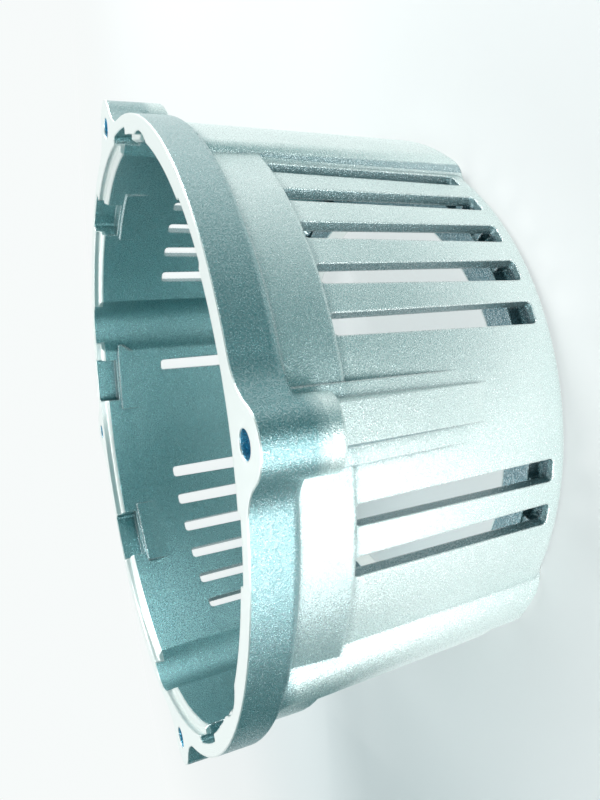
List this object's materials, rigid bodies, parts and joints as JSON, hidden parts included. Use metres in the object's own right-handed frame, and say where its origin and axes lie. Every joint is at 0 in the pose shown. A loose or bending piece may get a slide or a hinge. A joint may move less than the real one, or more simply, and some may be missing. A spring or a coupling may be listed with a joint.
{
  "type": "generator stator bracket",
  "caption": "Cast drum that houses a generator's stator: flanged mouth with ears, slotted air windows, bolt channels and a pilot opening in its rear wall.",
  "frame": {"origin": "on the drum's axis, at the rear face that it stands on", "axes": "+Z along the drum's axis towards the mouth, -Y towards the front ear, +X towards a side ear"},
  "size_m": [0.2212, 0.2212, 0.096],
  "materials": {
    "cast_aluminium": "shot-blasted casting, machined on the mouth, the seat and the pilot opening"
  },
  "bodies": {
    "root": {"stator_bracket": "cast_aluminium"}
  },
  "joints": []
}
